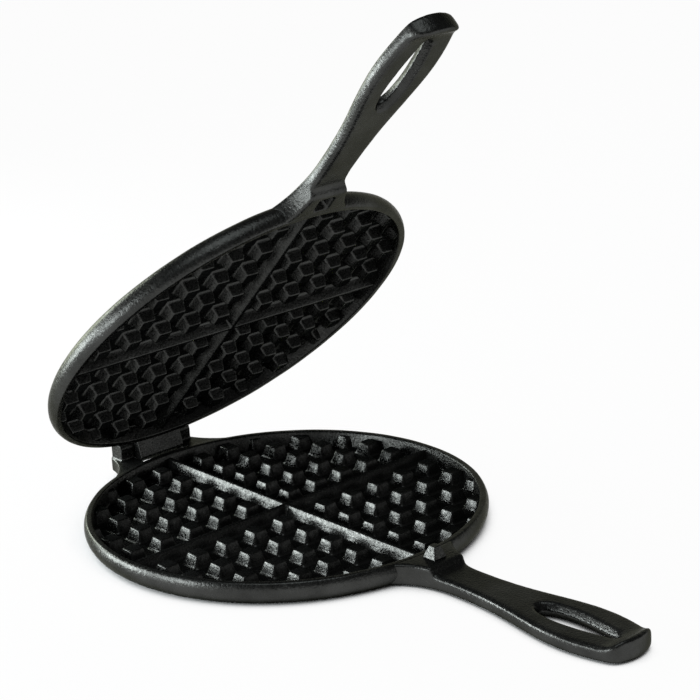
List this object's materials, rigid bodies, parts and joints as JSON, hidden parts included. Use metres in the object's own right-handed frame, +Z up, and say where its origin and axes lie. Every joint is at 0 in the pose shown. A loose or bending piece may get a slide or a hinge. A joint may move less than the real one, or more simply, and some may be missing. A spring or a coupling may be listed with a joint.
{
  "type": "stovetop waffle iron",
  "caption": "Round cast-iron stovetop waffle iron: two studded plates with handles, joined by a loose hinge at the back and standing half open.",
  "frame": {"origin": "centre of the lower plate's flat underside, on the surface it stands on", "axes": "+X from the hinge to the lower handle, +Z up from the underside to the upper half, +Y to the left of someone who looks along +X"},
  "size_m": [0.3315, 0.1928, 0.2512],
  "materials": {
    "cast_iron": "seasoned sand-cast black, semi-gloss"
  },
  "bodies": {
    "lower_half": {"lower_pan": "cast_iron", "lower_studs": "cast_iron", "lower_dividers": "cast_iron", "lower_handle": "cast_iron", "locating_peg": "cast_iron", "hinge_bracket": "cast_iron"},
    "upper_half": {"upper_pan": "cast_iron", "upper_studs": "cast_iron", "upper_dividers": "cast_iron", "upper_handle": "cast_iron", "hinge_tongue": "cast_iron"}
  },
  "joints": [
    {"name": "lid", "type": "hinge", "parent": "lower_half", "child": "upper_half", "pos_m": [-0.1065, 0, 0.0136], "axis": [0, -1, 0], "range_deg": [-46, 59]}
  ]
}
